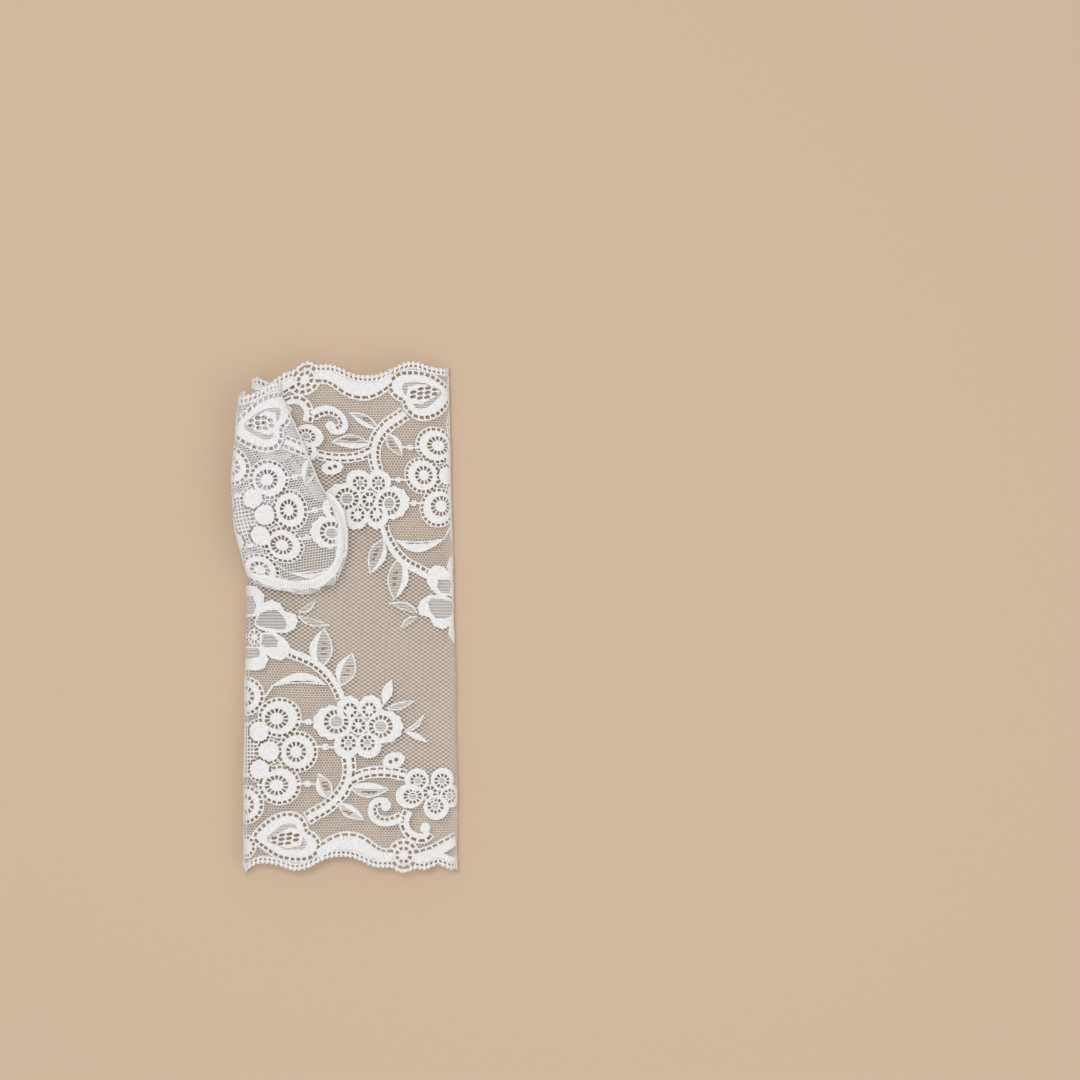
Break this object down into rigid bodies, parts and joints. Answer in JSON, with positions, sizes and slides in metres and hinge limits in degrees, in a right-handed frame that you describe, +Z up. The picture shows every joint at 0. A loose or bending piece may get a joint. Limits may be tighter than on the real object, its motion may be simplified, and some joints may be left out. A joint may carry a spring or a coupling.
{
  "type": "lace evening mitten",
  "caption": "Open-ended evening mitten of floral lace, a hand tube with scalloped edges and a lace thumb sleeve sewn round an oval hole.",
  "frame": {"origin": "on the surface it lies on, under the middle of the whole", "axes": "+Y from the wrist edge to the finger edge, +X away from the thumb side, +Z up through the back and then the palm"},
  "size_m": [0.0958, 0.214, 0.0198],
  "materials": {
    "hand_lace": "soft white stretch lace of nylon thread, satin cloth work on an open net",
    "thumb_lace": "soft white stretch lace of nylon thread, satin cloth work on an open net",
    "thumb_seam_thread": "dense overlocked white thread",
    "side_seam_thread": "dense overlocked white thread"
  },
  "bodies": {
    "root": {"hand_tube": "hand_lace", "thumb_tube": "thumb_lace", "thumb_seam": "thumb_seam_thread", "side_seam": "side_seam_thread"}
  },
  "joints": []
}
